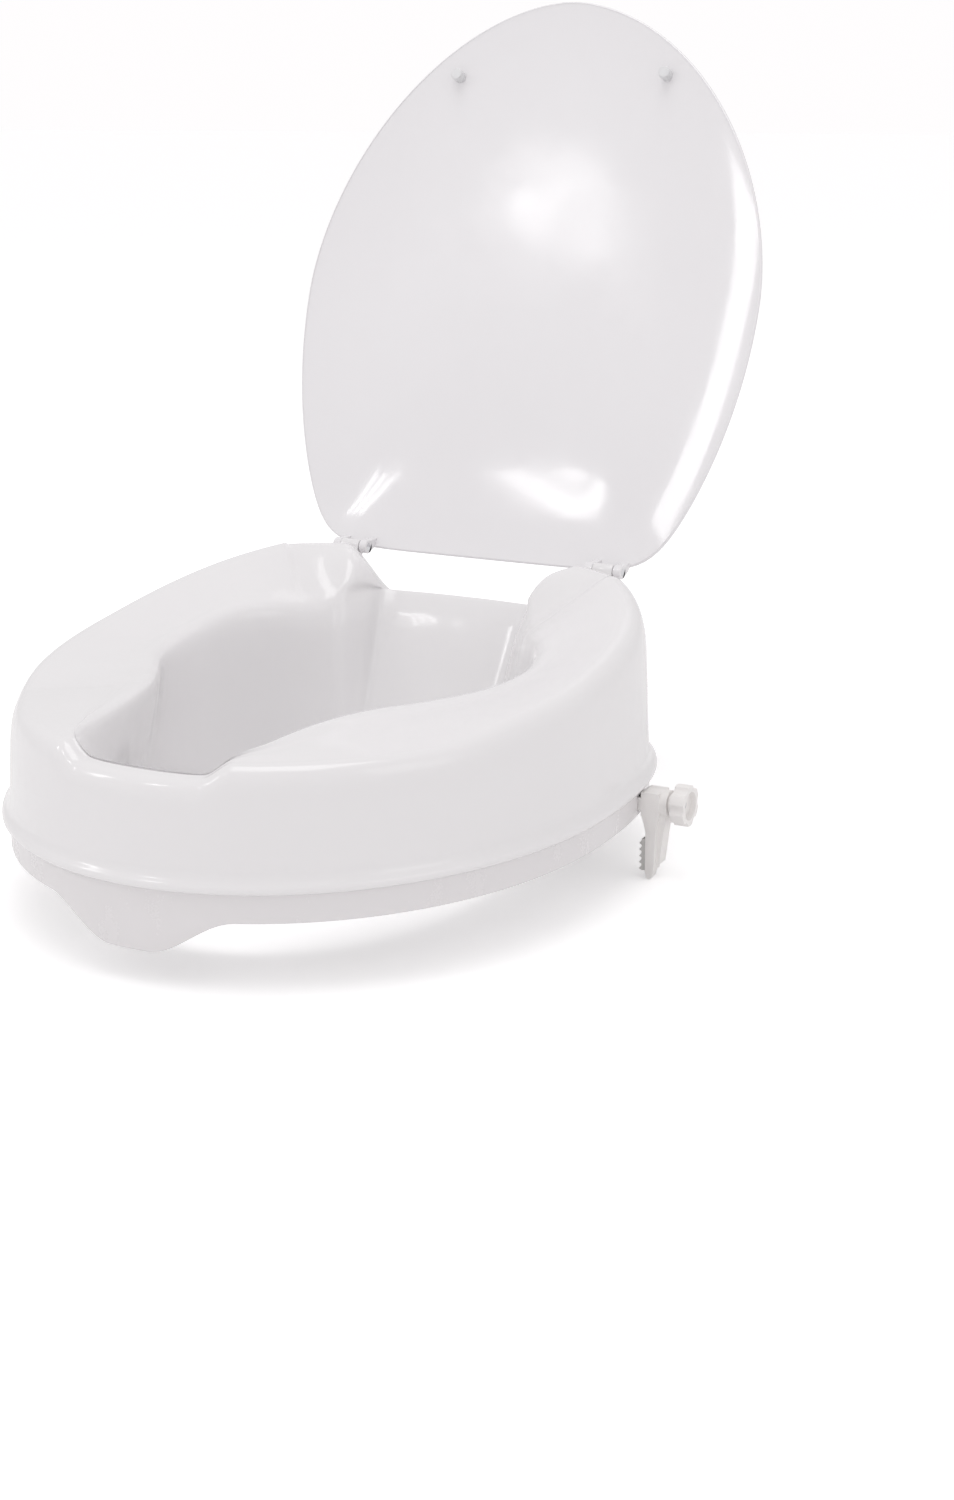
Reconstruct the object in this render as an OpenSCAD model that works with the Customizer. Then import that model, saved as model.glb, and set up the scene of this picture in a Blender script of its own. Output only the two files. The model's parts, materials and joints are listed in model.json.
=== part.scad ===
// Raised toilet seat with a hinged lid and two screw clamps that grip the bowl.
// Origin: on the plane of the four rest pads, below the widest line of the seat.
// +Z up, +Y towards the hinge, +X to the right for someone who faces the front.

/* [Seat outline] */
// Greatest width over the rolled lip
seat_w = 368; // [350:1:390]
// From the widest line to the front of the lip
front_len = 217; // [200:1:230]
// From the widest line to the back of the lip
rear_len = 196; // [180:1:210]

/* [Seat heights] */
// Underside of the rolled lip above the bowl rim
lip_z = 18; // [16:0.5:22]
// Outer edge of the seat above the lip, at the front
front_rise = 67; // [55:1:80]
// Depth of the notch at the front
notch_depth = 9; // [5:1:16]
// Floor of the recess between the shoulders, above the lip
recess_floor = 74; // [66:1:84]
// Top of the shoulders above the lip
shoulder_rise = 107.5; // [100:0.5:112]
// Wall thickness of the moulding
wall = 3.5; // [2.5:0.1:4.5]

/* [Splash funnel] */
// Half width of the opening at the bottom of the funnel
funnel_half_w = 106; // [98:1:108]
// Bottom edge of the funnel, below the bowl rim
funnel_z = -16; // [-24:1:-8]

/* [Base ring] */
// Underside of the ring above the rest pads' faces
ring_z = 1; // [0.5:0.5:2]
// Thickness of the ring's outer band
band_t = 3; // [2.5:0.5:4]
// Depth of the front tongue below the band
tongue_drop = 20; // [12:1:26]
// Half width of the tongue at its lower edge
tongue_half_w = 12; // [8:1:20]

/* [Lid] */
// Half width of the lid
lid_half_w = 169; // [160:1:174]
// Length of the lid from its hinge edge
lid_len = 387; // [370:1:392]
// Rise of the lid's dome over its rim
lid_dome = 14; // [8:1:18]
// Thickness of the lid
lid_t = 3; // [2.5:0.5:4]
// How far the stored lid stands open from level
lid_open_deg = 111; // [95:1:115]
// Diameter of a hinge pin
pin_d = 5; // [4:0.5:6]

/* [Clamps] */
// Place of the clamps along the seat, behind the widest line
clamp_y = 65; // [55:1:75]
// Height of the clamp screws above the bowl rim
screw_z = 9.5; // [9:0.5:10]
// Diameter of the clamp screws
screw_d = 6; // [5:0.5:6]
// Diameter of the knobs
knob_d = 25; // [22:0.5:30]
// Lowest point of the clamp legs
leg_z = -38; // [-46:1:-34]

/* [Hidden] */

gloss_white = [0.94, 0.94, 0.95];
warm_white = [0.90, 0.89, 0.87];
pad_grey = [0.80, 0.80, 0.79];
steel = [0.72, 0.73, 0.74];

half_w = seat_w / 2;
funnel_front = 160;
funnel_rear = 102;
band_inset = 4.3;
opening_half_w = 114;
opening_front = 176;
opening_rear = 132;
hinge_y = 186.5;
hinge_z = lip_z + 100.3;
post_x = 95;
post_w = 14;
eye_r = 4.6;
rim_over_axis = 7.8;
edge_past_axis = -0.6;
run_gap = 0.06;
screw_angles = [-78, -40, -12, 22, 44, 80];

// ---------- shared outlines ----------

function clamp01(v) = max(0, min(1, v));
function ease(v) = let (c = clamp01(v)) c * c * (3 - 2 * c);
function mix(a, b, s) = a * (1 - s) + b * s;
function bump(v) = exp(-v * v);

// Egg outline: t runs from -90 at the front to 90 at the back, side is 1 or -1.
function egg(t, side, hw, front, rear) =
    let (n = t < 0 ? 2 : 2.55, c = pow(abs(cos(t)), 2 / n), s = pow(abs(sin(t)), 2 / n))
    [side * hw * c, t < 0 ? -front * s : rear * s];
function rim(t, side, inset) = egg(t, side, half_w - inset, front_len - inset, rear_len - inset);
function ring_angles(step) = [for (t = [-90:step:90]) t];
function loop_pts(ts, f) = concat([for (t = ts) f(t, 1)],
    [for (i = [len(ts) - 2:-1:1]) f(ts[i], -1)]);
outline_ts = ring_angles(3.75);
module rim_area(inset) { polygon(loop_pts(outline_ts, function(t, s) rim(t, s, inset))); }
module opening_area() {
    polygon(loop_pts(outline_ts,
        function(t, s) egg(t, s, opening_half_w, opening_front, opening_rear)));
}

// ---------- seat shell ----------

// Sitting edge of the opening, right half: station angle, x, y and height over the lip.
edge_stations = [
    [-90, 0, -190, 56.5], [-80, 28, -188.5, 56.5], [-76, 38, -187, 58], [-73, 45, -185.5, 63],
    [-70, 50, -180, 68], [-62, 54, -160, 69.5], [-52, 58, -132, 70.5], [-42, 64, -106, 71],
    [-33, 73, -80, 70.5], [-24, 88, -54, 69.5], [-14, 105, -26, 70], [-3, 113, 0, 70.5],
    [10, 115, 28, 72], [20, 111, 52, 75.5], [30, 103, 69, 78], [40, 91, 84, 77],
    [50, 79, 102, 73], [60, 70, 118, 72], [66, 64, 126, 73.5], [70, 58, 142, 76],
    [74, 54, 157, 77], [80, 36, 161.5, 77], [90, 0, 163, 77]];

function station(i) = let (n = len(edge_stations),
    s = edge_stations[i < 0 ? -i : i >= n ? 2 * n - 2 - i : i])
    i < 0 ? [-180 - s[0], -s[1], s[2], s[3]] : i >= n ? [180 - s[0], -s[1], s[2], s[3]] : s;
function slope_at(i) = let (a = station(i - 1), b = station(i + 1))
    (b - a) / (b[0] - a[0]);
function span_of(t) = max([for (i = [0:len(edge_stations) - 2]) if (edge_stations[i][0] <= t) i]);
function edge_at(t, side) = let (i = span_of(t), a = station(i), b = station(i + 1),
    h = b[0] - a[0], u = (t - a[0]) / h,
    p = a * (2*u*u*u - 3*u*u + 1) + b * (3*u*u - 2*u*u*u)
        + slope_at(i) * h * (u*u*u - 2*u*u + u) + slope_at(i + 1) * h * (u*u*u - u*u))
    [side * p[1], p[2], p[3]];

// Height of the seat's outer edge over the lip.
function side_rise(y) = front_rise + 1.5 * ease((y + 115) / 40) + 0.105 * max(0, y + 120)
    + 0.0004 * pow(max(0, y + 30), 2);
function lobe_rise(x) = recess_floor + (shoulder_rise - recess_floor) * ease((x - 54) / 36);
function crest_rise(t) = let (p = rim(t, 1, 14))
    t > 0 && p[0] < 124 ? lobe_rise(p[0])
    : side_rise(p[1]) - notch_depth * (t < 0 ? 1 - ease((p[0] - 38) / 18) : 0);

function at(p, z) = [p[0], p[1], lip_z + z];
function dir2(a, b) = let (d = [b[0] - a[0], b[1] - a[1]]) d / max(0.01, norm(d));

// One section of the moulding, from the lip up, over the seat, down the funnel and back inside.
function section(t, side) = let (
    c = crest_rise(t), e = edge_at(t, side), b = egg(t, side, funnel_half_w, funnel_front, funnel_rear),
    o = rim(t, side, 21), out = dir2(e, o), bow = 5 * bump((t - 67) / 6) * side,
    swell = 8 * bump((t - 65) / 6),
    top = function(s, lift) [mix(o[0], e[0], s) - bow * sin(180 * s), mix(o[1], e[1], s),
        lip_z + mix(c, e[2], s) + lift + swell * sin(180 * s)],
    down = function(s, off) [mix(e[0], b[0], s) + out[0] * off, mix(e[1], b[1], s) + out[1] * off,
        mix(lip_z + e[2], funnel_z, s)],
    knee = min(9, 3 + 0.2 * norm([o[0] - e[0], o[1] - e[1]])))
    [at(rim(t, side, 1.4), 0), at(rim(t, side, 0), 1.8), at(rim(t, side, 0.5), 4.2),
     at(rim(t, side, 3.0), 7), at(rim(t, side, 4.8), 12), at(rim(t, side, 7), c - 24),
     at(rim(t, side, 9), c - 11), at(rim(t, side, 12), c - 4), at(rim(t, side, 16), c - 0.8),
     top(0, 0), top(0.35, 0.6), top(0.7, 0.5),
     [e[0] + out[0] * knee * 0.6, e[1] + out[1] * knee * 0.6,
      lip_z + e[2] + 1.8 + 0.4 * swell
          + 0.5 * (c - e[2]) * knee / max(1, norm([o[0] - e[0], o[1] - e[1]]))],
     [e[0], e[1], lip_z + e[2] - 1.5],
     down(0.12, -1.5), down(0.5, 0), down(1, 0),
     down(1, wall * 0.8), down(0.5, wall), down(0.13, wall - 0.5),
     [e[0] + out[0] * wall, e[1] + out[1] * wall, lip_z + e[2] - wall - 2.5],
     at(rim(t, side, 16.5), c - 5), at(rim(t, side, 12.5), c - 13),
     at(rim(t, side, 10.5), c - 24), at(rim(t, side, 8.3), 12), at(rim(t, side, 8.3), 4),
     at(rim(t, side, 22), 4), at(rim(t, side, 22), 0)];

shell_ts = concat([-90, -86, -82], [for (t = [-79:1.5:-67]) t], [for (t = [-64:4:-36]) t],
    [for (t = [-33:3:0]) t], [for (t = [4:4:56]) t], [for (t = [59:1.5:77]) t], [80, 85, 90]);

module seat_shell() {
    rings = loop_pts(shell_ts, function(t, s) section(t, s));
    n = len(rings);
    k = len(rings[0]);
    color(gloss_white) polyhedron(
        [for (r = rings) for (p = r) p],
        [for (i = [0:n - 1]) for (j = [0:k - 1])
            let (a = i * k + j, b = i * k + (j + 1) % k, c = ((i + 1) % n) * k)
            each [[a, b, c + (j + 1) % k], [a, c + (j + 1) % k, c + j]]]);
}

// ---------- base ring ----------

ring_top = lip_z;
arm_slot_w = 17;
arm_slot_lo = 4.3;
arm_slot_hi = 13.2;
screw_ring_inset = 15;
pad_len = 46;
pad_w = 16;
pad_sink = 1.5;
// Pads lie across the ring on rays from its centre: x, y and turn of each pad.
pad_places = [[-92, -148, 58], [92, -148, -58], [-112, 124, -48], [112, 124, 48]];

module pad_slab(i, grow, z0, h) {
    p = pad_places[i];
    translate([p[0], p[1], z0]) rotate([0, 0, p[2]]) linear_extrude(height = h)
        square([pad_w + 2 * grow, pad_len + 2 * grow], center = true);
}
module tongue() {
    top = ring_z + 3;
    low = ring_z - tongue_drop;
    steps = [0:0.1:1];
    right = [for (u = steps) [mix(tongue_half_w, tongue_half_w + 48, u), mix(low, ring_z, ease(u))]];
    left = [for (i = [len(right) - 1:-1:0]) [-right[i][0], right[i][1]]];
    intersection() {
        translate([0, 0, low - 1]) linear_extrude(height = top - low + 1) difference() {
            rim_area(band_inset);
            rim_area(band_inset + band_t);
        }
        translate([0, -120, 0]) rotate([90, 0, 0]) linear_extrude(height = 110)
            polygon(concat(right, [[tongue_half_w + 48, top]], [[-tongue_half_w - 48, top]], left));
    }
}
module base_ring() {
    color(gloss_white) difference() {
        union() {
            translate([0, 0, ring_z]) linear_extrude(height = ring_top - ring_z) difference() {
                rim_area(band_inset);
                rim_area(band_inset + band_t);
            }
            translate([0, 0, ring_z]) linear_extrude(height = 3) difference() {
                rim_area(band_inset + 1);
                opening_area();
            }
            tongue();
            for (t = screw_angles, s = [-1, 1]) let (p = rim(t, s, screw_ring_inset))
                translate([p[0], p[1], ring_z]) cylinder(d = 12, h = ring_top - ring_z, $fn = 32);
            for (s = [-1, 1]) nut_block(s);
        }
        for (t = screw_angles, s = [-1, 1]) let (p = rim(t, s, screw_ring_inset))
            translate([p[0], p[1], 0]) {
                cylinder(d = 4.3, h = ring_top + 1, $fn = 32);
                cylinder(d = 8.5, h = 6, $fn = 32);
            }
        for (s = [-1, 1]) arm_way(s);
        for (i = [0:3]) pad_slab(i, 0.2, 0, ring_z + pad_sink);
    }
}
// Slot through the band for a clamp arm, and the way behind it.
module arm_way(s) {
    translate([s * 152, clamp_y, mix(arm_slot_lo, arm_slot_hi, 0.5)])
        cube([60, arm_slot_w, arm_slot_hi - arm_slot_lo], center = true);
}
// Block on the floor of the ring that holds the nut of a clamp screw.
module nut_block(s) {
    translate([s * 136, clamp_y, mix(ring_z, ring_top - 0.5, 0.5)])
        difference() {
            cube([18, 24, ring_top - 0.5 - ring_z], center = true);
            translate([0, 0, screw_z - mix(ring_z, ring_top - 0.5, 0.5)]) rotate([0, 90, 0]) {
                cylinder(d = screw_d + 1, h = 30, center = true, $fn = 32);
                rotate([0, 0, 30]) cylinder(r = nut_r + 0.15, h = nut_t + 0.3, center = true, $fn = 6);
            }
            translate([-nut_t / 2 - 0.15, -nut_r - 0.15, screw_z - mix(ring_z, ring_top - 0.5, 0.5)])
                cube([nut_t + 0.3, 2 * nut_r + 0.3, 20]);
        }
}

module rest_pad(i) {
    color(pad_grey) pad_slab(i, 0, 0, ring_z + pad_sink);
}

module ring_screws() {
    color(steel) for (t = screw_angles, s = [-1, 1]) let (p = rim(t, s, screw_ring_inset))
        translate([p[0], p[1], 0]) {
            translate([0, 0, 3.6]) cylinder(d = 7.6, h = 2.4, $fn = 32);
            translate([0, 0, 5.9]) cylinder(d = 4, h = 20, $fn = 32);
        }
}

// ---------- hinge ----------

post_foot_z = 78;
post_top_z = lip_z + 92;
wall_lean = 0.48;
post_face_y = 173.8;
module hinge_post(s) {
    color(gloss_white) difference() {
        union() {
            translate([s * post_x, 0, post_foot_z]) linear_extrude(height = post_top_z - post_foot_z)
                polygon([for (q = [[-1, 0], [1, 0], [1, 1], [-1, 1]])
                    [q[0] * post_w / 2, q[1] > 0 ? 179 : post_face_y - s * q[0] * post_w / 2 * wall_lean]]);
            translate([s * post_x - post_w / 2, 0, 0]) rotate([90, 0, 90])
                linear_extrude(height = post_w)
                    polygon([[176.9, post_top_z - 9], [179, post_top_z - 9],
                        [hinge_y + 3.3, hinge_z - 3.2], [hinge_y - 3.3, hinge_z + 3.2],
                        [176.9, post_top_z - 1]]);
            translate([s * post_x - post_w / 2, hinge_y, hinge_z]) rotate([0, 90, 0])
                cylinder(r = eye_r, h = post_w, $fn = 48);
        }
        translate([s * post_x - post_w, hinge_y, hinge_z]) rotate([0, 90, 0])
            cylinder(d = pin_d, h = 2 * post_w, $fn = 48);
        for (z = post_screw_zs) translate([s * post_x, 150, z]) rotate([-90, 0, 0])
            cylinder(d = 4, h = 40, $fn = 32);
    }
}
post_screw_zs = [post_foot_z + 5, post_top_z - 13.5];
module hinge_post_screws() {
    color(steel) for (s = [-1, 1], z = post_screw_zs) translate([s * post_x, 0, z])
        rotate([-90, 0, 0]) {
            translate([0, 0, 179]) cylinder(d = 7, h = 2.4, $fn = 32);
            translate([0, 0, 161]) cylinder(d = 3.9, h = 18, $fn = 32);
        }
}
lug_w = 5.5;
lug_gap = 0.4;
module hinge_pin(s) {
    half = post_w / 2 + lug_gap + lug_w;
    color(steel) translate([s * post_x, hinge_y, hinge_z]) rotate([0, s * 90, 0]) {
        translate([0, 0, -half]) cylinder(d = pin_d, h = 2 * half, $fn = 48);
    }
}

// ---------- lid ----------

lid_mid = 180;
// Polar outline of the lid about its widest line; phi is 90 at the front, -90 at the hinge.
function egg_radius(phi, b, n) =
    pow(pow(abs(cos(phi)) / lid_half_w, n) + pow(abs(sin(phi)) / b, n), -1 / n);
function lid_radius(phi) = let (s = sin(phi))
    s >= 0 ? egg_radius(phi, lid_len - lid_mid, 1.83)
    : let (r = egg_radius(phi, 255, 1.97), cut = lid_mid / max(0.02, -s))
        pow(pow(r, -18) + pow(cut, -18), -1 / 18);
// Point of the closed lid, with the hinge axis at the origin and the front towards -Y.
function lid_pt(q, phi, lift) = let (r = q * lid_radius(phi))
    [r * cos(phi), edge_past_axis - lid_mid - r * sin(phi),
     rim_over_axis + lid_dome * (1 - pow(q, 4)) + lift];
lid_qs = [0.2, 0.4, 0.58, 0.72, 0.83, 0.91, 0.96, 0.985];
module lid_panel() {
    phis = [for (a = [0:5:355]) a];
    n = len(phis);
    rings = concat([for (q = lid_qs) [q, 0]], [[1, 0.4], [1, lid_t - 0.4]],
        [for (i = [len(lid_qs) - 1:-1:0]) [lid_qs[i], lid_t]]);
    k = len(rings);
    centre = [0, edge_past_axis - lid_mid, rim_over_axis + lid_dome];
    polyhedron(
        concat([for (r = rings) for (a = phis) lid_pt(r[0], a, r[1])],
            [centre, centre + [0, 0, lid_t]]),
        concat(
            [for (i = [0:k - 2]) for (j = [0:n - 1]) let (m = (j + 1) % n)
                each [[i * n + j, (i + 1) * n + m, (i + 1) * n + j], [i * n + j, i * n + m, (i + 1) * n + m]]],
            [for (j = [0:n - 1]) [k * n, (j + 1) % n, j]],
            [for (j = [0:n - 1]) [k * n + 1, (k - 1) * n + j, (k - 1) * n + (j + 1) % n]]));
}
module lid_lug(x) {
    translate([x, 0, 0]) rotate([90, 0, 90]) linear_extrude(height = lug_w)
        polygon([[-4.4, 0], [4.2, 0], [-2.2, rim_over_axis + 1], [-8.5, rim_over_axis + 2.4]]);
    translate([x, 0, 0]) rotate([0, 90, 0]) cylinder(r = eye_r, h = lug_w, $fn = 48);
}
module place_lid() {
    translate([0, hinge_y, hinge_z]) rotate([-lid_open_deg, 0, 0]) children();
}
module lid() {
    color(gloss_white) place_lid() difference() {
        union() {
            lid_panel();
            for (s = [-1, 1], k = [-1, 1])
                lid_lug(s * post_x + k * (post_w / 2 + lug_gap + lug_w / 2) - lug_w / 2);
        }
        for (s = [-1, 1]) translate([s * post_x - 20, 0, 0]) rotate([0, 90, 0])
            cylinder(r = pin_d / 2 + run_gap, h = 40, $fn = 48);
    }
}
// Buffers under the lid's front that meet the seat when the lid is down.
buffer_x = 78;
buffer_u = 336;
buffer_lo = 5;
buffer_h = 8.7;
module lid_buffer(s) {
    color(gloss_white) place_lid()
        translate([s * buffer_x, edge_past_axis - buffer_u, buffer_lo])
            cylinder(d = 8, h = buffer_h, $fn = 48);
}

// ---------- clamps ----------

arm_in = 150;
arm_out = 194.6;
boss_in = 184.5;
boss_r = 7.8;
nut_r = 5.7;
nut_t = 5;
module side_of(s) { if (s > 0) children(); else mirror([1, 0, 0]) children(); }

module clamp_nut(s) {
    color(steel) translate([s * 136, clamp_y, screw_z]) rotate([0, 90, 0]) difference() {
        rotate([0, 0, 30]) cylinder(r = nut_r, h = nut_t, center = true, $fn = 6);
        cylinder(r = screw_d / 2 + run_gap, h = nut_t + 2, center = true, $fn = 48);
    }
}
leg_x = 181.6;
clip_x = 178.2;
screw_in = 113;
module clamp_bracket(s) {
    arm_w = arm_slot_w - 1;
    color(warm_white) side_of(s) difference() {
        union() {
            translate([arm_in, clamp_y - arm_w / 2, arm_slot_lo + 0.4])
                cube([boss_in - arm_in, arm_w, arm_slot_hi - arm_slot_lo - 0.8]);
            translate([178.4, clamp_y - arm_w / 2, 1.5]) cube([11.6, arm_w, 15]);
            translate([boss_in - 4, clamp_y, screw_z]) rotate([0, 90, 0])
                cylinder(r = boss_r, h = arm_out - boss_in + 4, $fn = 64);
            translate([0, clamp_y - 2, 0]) rotate([90, 0, 0]) linear_extrude(height = 6)
                polygon([[178.4, 3], [190, 3], [188.4, -4], [187.2, leg_z + 5], [186.2, leg_z + 2],
                    [184.6, leg_z + 0.4], [183.2, leg_z + 0.4], [182.1, leg_z + 2],
                    [181.6, leg_z + 5], [181.6, -8], [180.6, -4]]);
            translate([0, clamp_y + 7, 0]) rotate([90, 0, 0]) linear_extrude(height = 14)
                polygon([[181.6, 3], [185.2, 3], [185.2, leg_z + 4], [181.6, leg_z + 4]]);
            translate([0, clamp_y + 5, 0]) rotate([90, 0, 0]) linear_extrude(height = 10)
                polygon([[189.6, 12], [193.2, 12], [193.2, 0], [189.6, leg_z + 9.5],
                    [186.6, leg_z + 9.5], [187.8, 0]]);
            translate([0, clamp_y + 5, 0]) rotate([90, 0, 0]) linear_extrude(height = 3)
                polygon([[184, 3], [190, 3], [188, leg_z + 9.5], [184, leg_z + 9.5]]);
        }
        translate([arm_in - 1, clamp_y, screw_z]) rotate([0, 90, 0])
            cylinder(r = screw_d / 2 + 0.4, h = boss_in - arm_in - 2, $fn = 48);
        translate([arm_in - 1, clamp_y, screw_z]) rotate([0, 90, 0])
            cylinder(r = screw_d / 2 + run_gap, h = 60, $fn = 48);
        translate([arm_in - 1, clamp_y - 6, arm_slot_lo - 1]) cube([clip_x + 1.05 - arm_in + 1, 12, 12]);
    }
}
// Toothed rubber face that grips the outside of the bowl.
module clamp_pad(s) {
    tooth = 4;
    top = leg_z + 25;
    color(pad_grey) side_of(s) translate([0, clamp_y + 7, 0]) rotate([90, 0, 0])
        linear_extrude(height = 14) polygon(concat(
            [[leg_x, leg_z + 5], [leg_x, top], [178.8, top]],
            [for (i = [0:4]) each [[178.8, top - i * tooth - 1], [177.2, top - i * tooth - 3],
                [178.8, top - i * tooth - tooth]]]));
}
module clamp_screw(s) {
    color(steel) side_of(s) translate([0, clamp_y, screw_z]) rotate([0, 90, 0]) {
        translate([0, 0, screw_in]) cylinder(d = screw_d, h = knob_in + 6.5 - screw_in, $fn = 48);
    }
}
module clamp_washer(s) {
    color(steel) side_of(s) translate([arm_out + 0.1, clamp_y, screw_z]) rotate([0, 90, 0])
        difference() {
            cylinder(d = 12, h = 1.8, $fn = 48);
            translate([0, 0, -1]) cylinder(r = screw_d / 2 + run_gap, h = 4, $fn = 48);
        }
}
// Spring clip on the screw behind the boss, so that unscrewing pushes the clamp out.
module clamp_clip(s) {
    color(steel) side_of(s) translate([clip_x, clamp_y, screw_z]) rotate([0, 90, 0])
        difference() {
            cylinder(d = 10, h = 0.9, $fn = 48);
            translate([0, 0, -1]) cylinder(d = screw_d - 0.4, h = 3, $fn = 48);
        }
}
knob_in = 196.7;
knob_h = 10.6;
module clamp_knob(s) {
    lobes = 6;
    color(warm_white) side_of(s) translate([knob_in, clamp_y, screw_z]) rotate([0, 90, 0])
        difference() {
            union() {
                cylinder(d = 14, h = 3, $fn = 64);
                translate([0, 0, 1.4]) cylinder(d = knob_d, h = knob_h - 1.4, $fn = 96);
            }
            for (i = [0:lobes - 1]) rotate([0, 0, (i + 0.5) * 360 / lobes])
                translate([knob_d / 2 + 2.2, 0, 1]) cylinder(d = 8, h = knob_h, $fn = 48);
            translate([0, 0, knob_h - 4]) cylinder(d = knob_d - 8, h = 6, $fn = 64);
            translate([0, 0, -1]) cylinder(d = screw_d, h = 7.6, $fn = 48);
        }
}

seat_shell();
base_ring();
rest_pad(0);  // rest_pad_front_left
rest_pad(1);  // rest_pad_front_right
rest_pad(2);  // rest_pad_rear_left
rest_pad(3);  // rest_pad_rear_right
ring_screws();
hinge_post(-1);  // hinge_post_left
hinge_post(1);  // hinge_post_right
hinge_post_screws();
hinge_pin(-1);  // hinge_pin_left
hinge_pin(1);  // hinge_pin_right
lid();
lid_buffer(-1);  // lid_buffer_left
lid_buffer(1);  // lid_buffer_right
clamp_nut(-1);  // clamp_nut_left
clamp_nut(1);  // clamp_nut_right
clamp_bracket(-1);  // clamp_bracket_left
clamp_bracket(1);  // clamp_bracket_right
clamp_pad(-1);  // clamp_pad_left
clamp_pad(1);  // clamp_pad_right
clamp_screw(-1);  // clamp_screw_left
clamp_screw(1);  // clamp_screw_right
clamp_washer(-1);  // clamp_washer_left
clamp_washer(1);  // clamp_washer_right
clamp_clip(-1);  // clamp_clip_left
clamp_clip(1);  // clamp_clip_right
clamp_knob(-1);  // clamp_knob_left
clamp_knob(1);  // clamp_knob_right
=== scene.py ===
"""Raised toilet seat with its lid open: camera, fine surfaces, materials and lights."""
import json
import math

import bmesh
import bpy
from mathutils import Matrix, Vector


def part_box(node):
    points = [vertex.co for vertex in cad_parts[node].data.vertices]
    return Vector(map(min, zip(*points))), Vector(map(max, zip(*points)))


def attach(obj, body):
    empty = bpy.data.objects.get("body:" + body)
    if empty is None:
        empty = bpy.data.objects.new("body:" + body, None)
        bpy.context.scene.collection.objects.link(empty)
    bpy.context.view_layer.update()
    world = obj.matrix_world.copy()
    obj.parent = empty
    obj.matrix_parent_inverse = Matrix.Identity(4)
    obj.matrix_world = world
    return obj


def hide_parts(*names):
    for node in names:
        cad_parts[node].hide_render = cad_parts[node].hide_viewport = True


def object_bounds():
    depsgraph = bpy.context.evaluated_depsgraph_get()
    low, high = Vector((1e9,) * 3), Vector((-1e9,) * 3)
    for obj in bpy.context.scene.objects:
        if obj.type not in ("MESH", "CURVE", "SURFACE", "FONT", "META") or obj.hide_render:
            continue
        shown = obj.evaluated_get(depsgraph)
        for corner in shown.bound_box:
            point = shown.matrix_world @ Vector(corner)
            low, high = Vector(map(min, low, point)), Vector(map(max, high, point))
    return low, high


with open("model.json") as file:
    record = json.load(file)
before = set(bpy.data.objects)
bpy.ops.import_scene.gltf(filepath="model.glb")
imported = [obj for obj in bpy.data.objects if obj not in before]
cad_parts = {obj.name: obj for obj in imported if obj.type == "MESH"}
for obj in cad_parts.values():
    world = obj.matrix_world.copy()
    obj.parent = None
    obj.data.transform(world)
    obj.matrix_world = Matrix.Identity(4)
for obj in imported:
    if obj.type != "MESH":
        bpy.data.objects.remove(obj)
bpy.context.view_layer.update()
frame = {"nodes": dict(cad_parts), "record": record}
MM = 0.001


# ---------- camera ----------

def place_camera():
    cam = bpy.data.cameras.new("main_view")
    cam.sensor_fit = "AUTO"
    cam.sensor_width = 36.0
    cam.lens = 53.455
    cam.shift_x = -0.0031
    cam.shift_y = -0.0339
    cam.clip_start = 0.05
    cam.clip_end = 60.0
    ob = bpy.data.objects.new("main_view", cam)
    bpy.context.scene.collection.objects.link(ob)
    eye = Vector((0.6783, -1.1071, 0.4223))
    look = (Vector((0.0, 0.1951, 0.018)) - eye).normalized()
    right = look.cross(Vector((0, 0, 1))).normalized()
    up = right.cross(look)
    roll = math.radians(-0.33)
    r2 = right * math.cos(roll) + up * math.sin(roll)
    u2 = up * math.cos(roll) - right * math.sin(roll)
    m = Matrix((r2, u2, -look)).transposed().to_4x4()
    m.translation = eye
    ob.matrix_world = m
    bpy.context.scene.camera = ob


place_camera()


# ---------- small helpers ----------

def clamp01(v):
    return max(0.0, min(1.0, v))


def ease(v):
    c = clamp01(v)
    return c * c * (3 - 2 * c)


def mix(a, b, s):
    return a * (1 - s) + b * s


def new_piece(name, verts, faces, material, body, nodes=(), sharp=None):
    """A mesh piece in metres that rides on a body and stands for the named nodes."""
    me = bpy.data.meshes.new(name)
    me.from_pydata([tuple(v) for v in verts], [], faces)
    return finish_piece(name, me, material, body, nodes, sharp)


def finish_piece(name, me, material, body, nodes=(), sharp=None):
    bm = bmesh.new()
    bm.from_mesh(me)
    bmesh.ops.recalc_face_normals(bm, faces=bm.faces)
    for f in bm.faces:
        f.smooth = True
    if sharp is not None:
        for e in bm.edges:
            if len(e.link_faces) == 2 and e.calc_face_angle(0) > math.radians(sharp):
                e.smooth = False
    bm.to_mesh(me)
    bm.free()
    ob = bpy.data.objects.new(name, me)
    bpy.context.scene.collection.objects.link(ob)
    me.materials.clear()
    me.materials.append(material)
    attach(ob, body)
    if nodes:
        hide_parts(*nodes)
    return ob


def keep_inside(verts, node):
    lo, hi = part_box(node)
    return [tuple(max(lo[i], min(hi[i], v[i])) for i in range(3)) for v in verts]


# ---------- materials ----------

def group(name, ins, outs):
    g = bpy.data.node_groups.new(name, "ShaderNodeTree")
    for n, kind, value in ins:
        s = g.interface.new_socket(name=n, in_out="INPUT", socket_type=kind)
        s.default_value = value
    for n, kind in outs:
        g.interface.new_socket(name=n, in_out="OUTPUT", socket_type=kind)
    return g, g.nodes.new("NodeGroupInput"), g.nodes.new("NodeGroupOutput")


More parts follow.
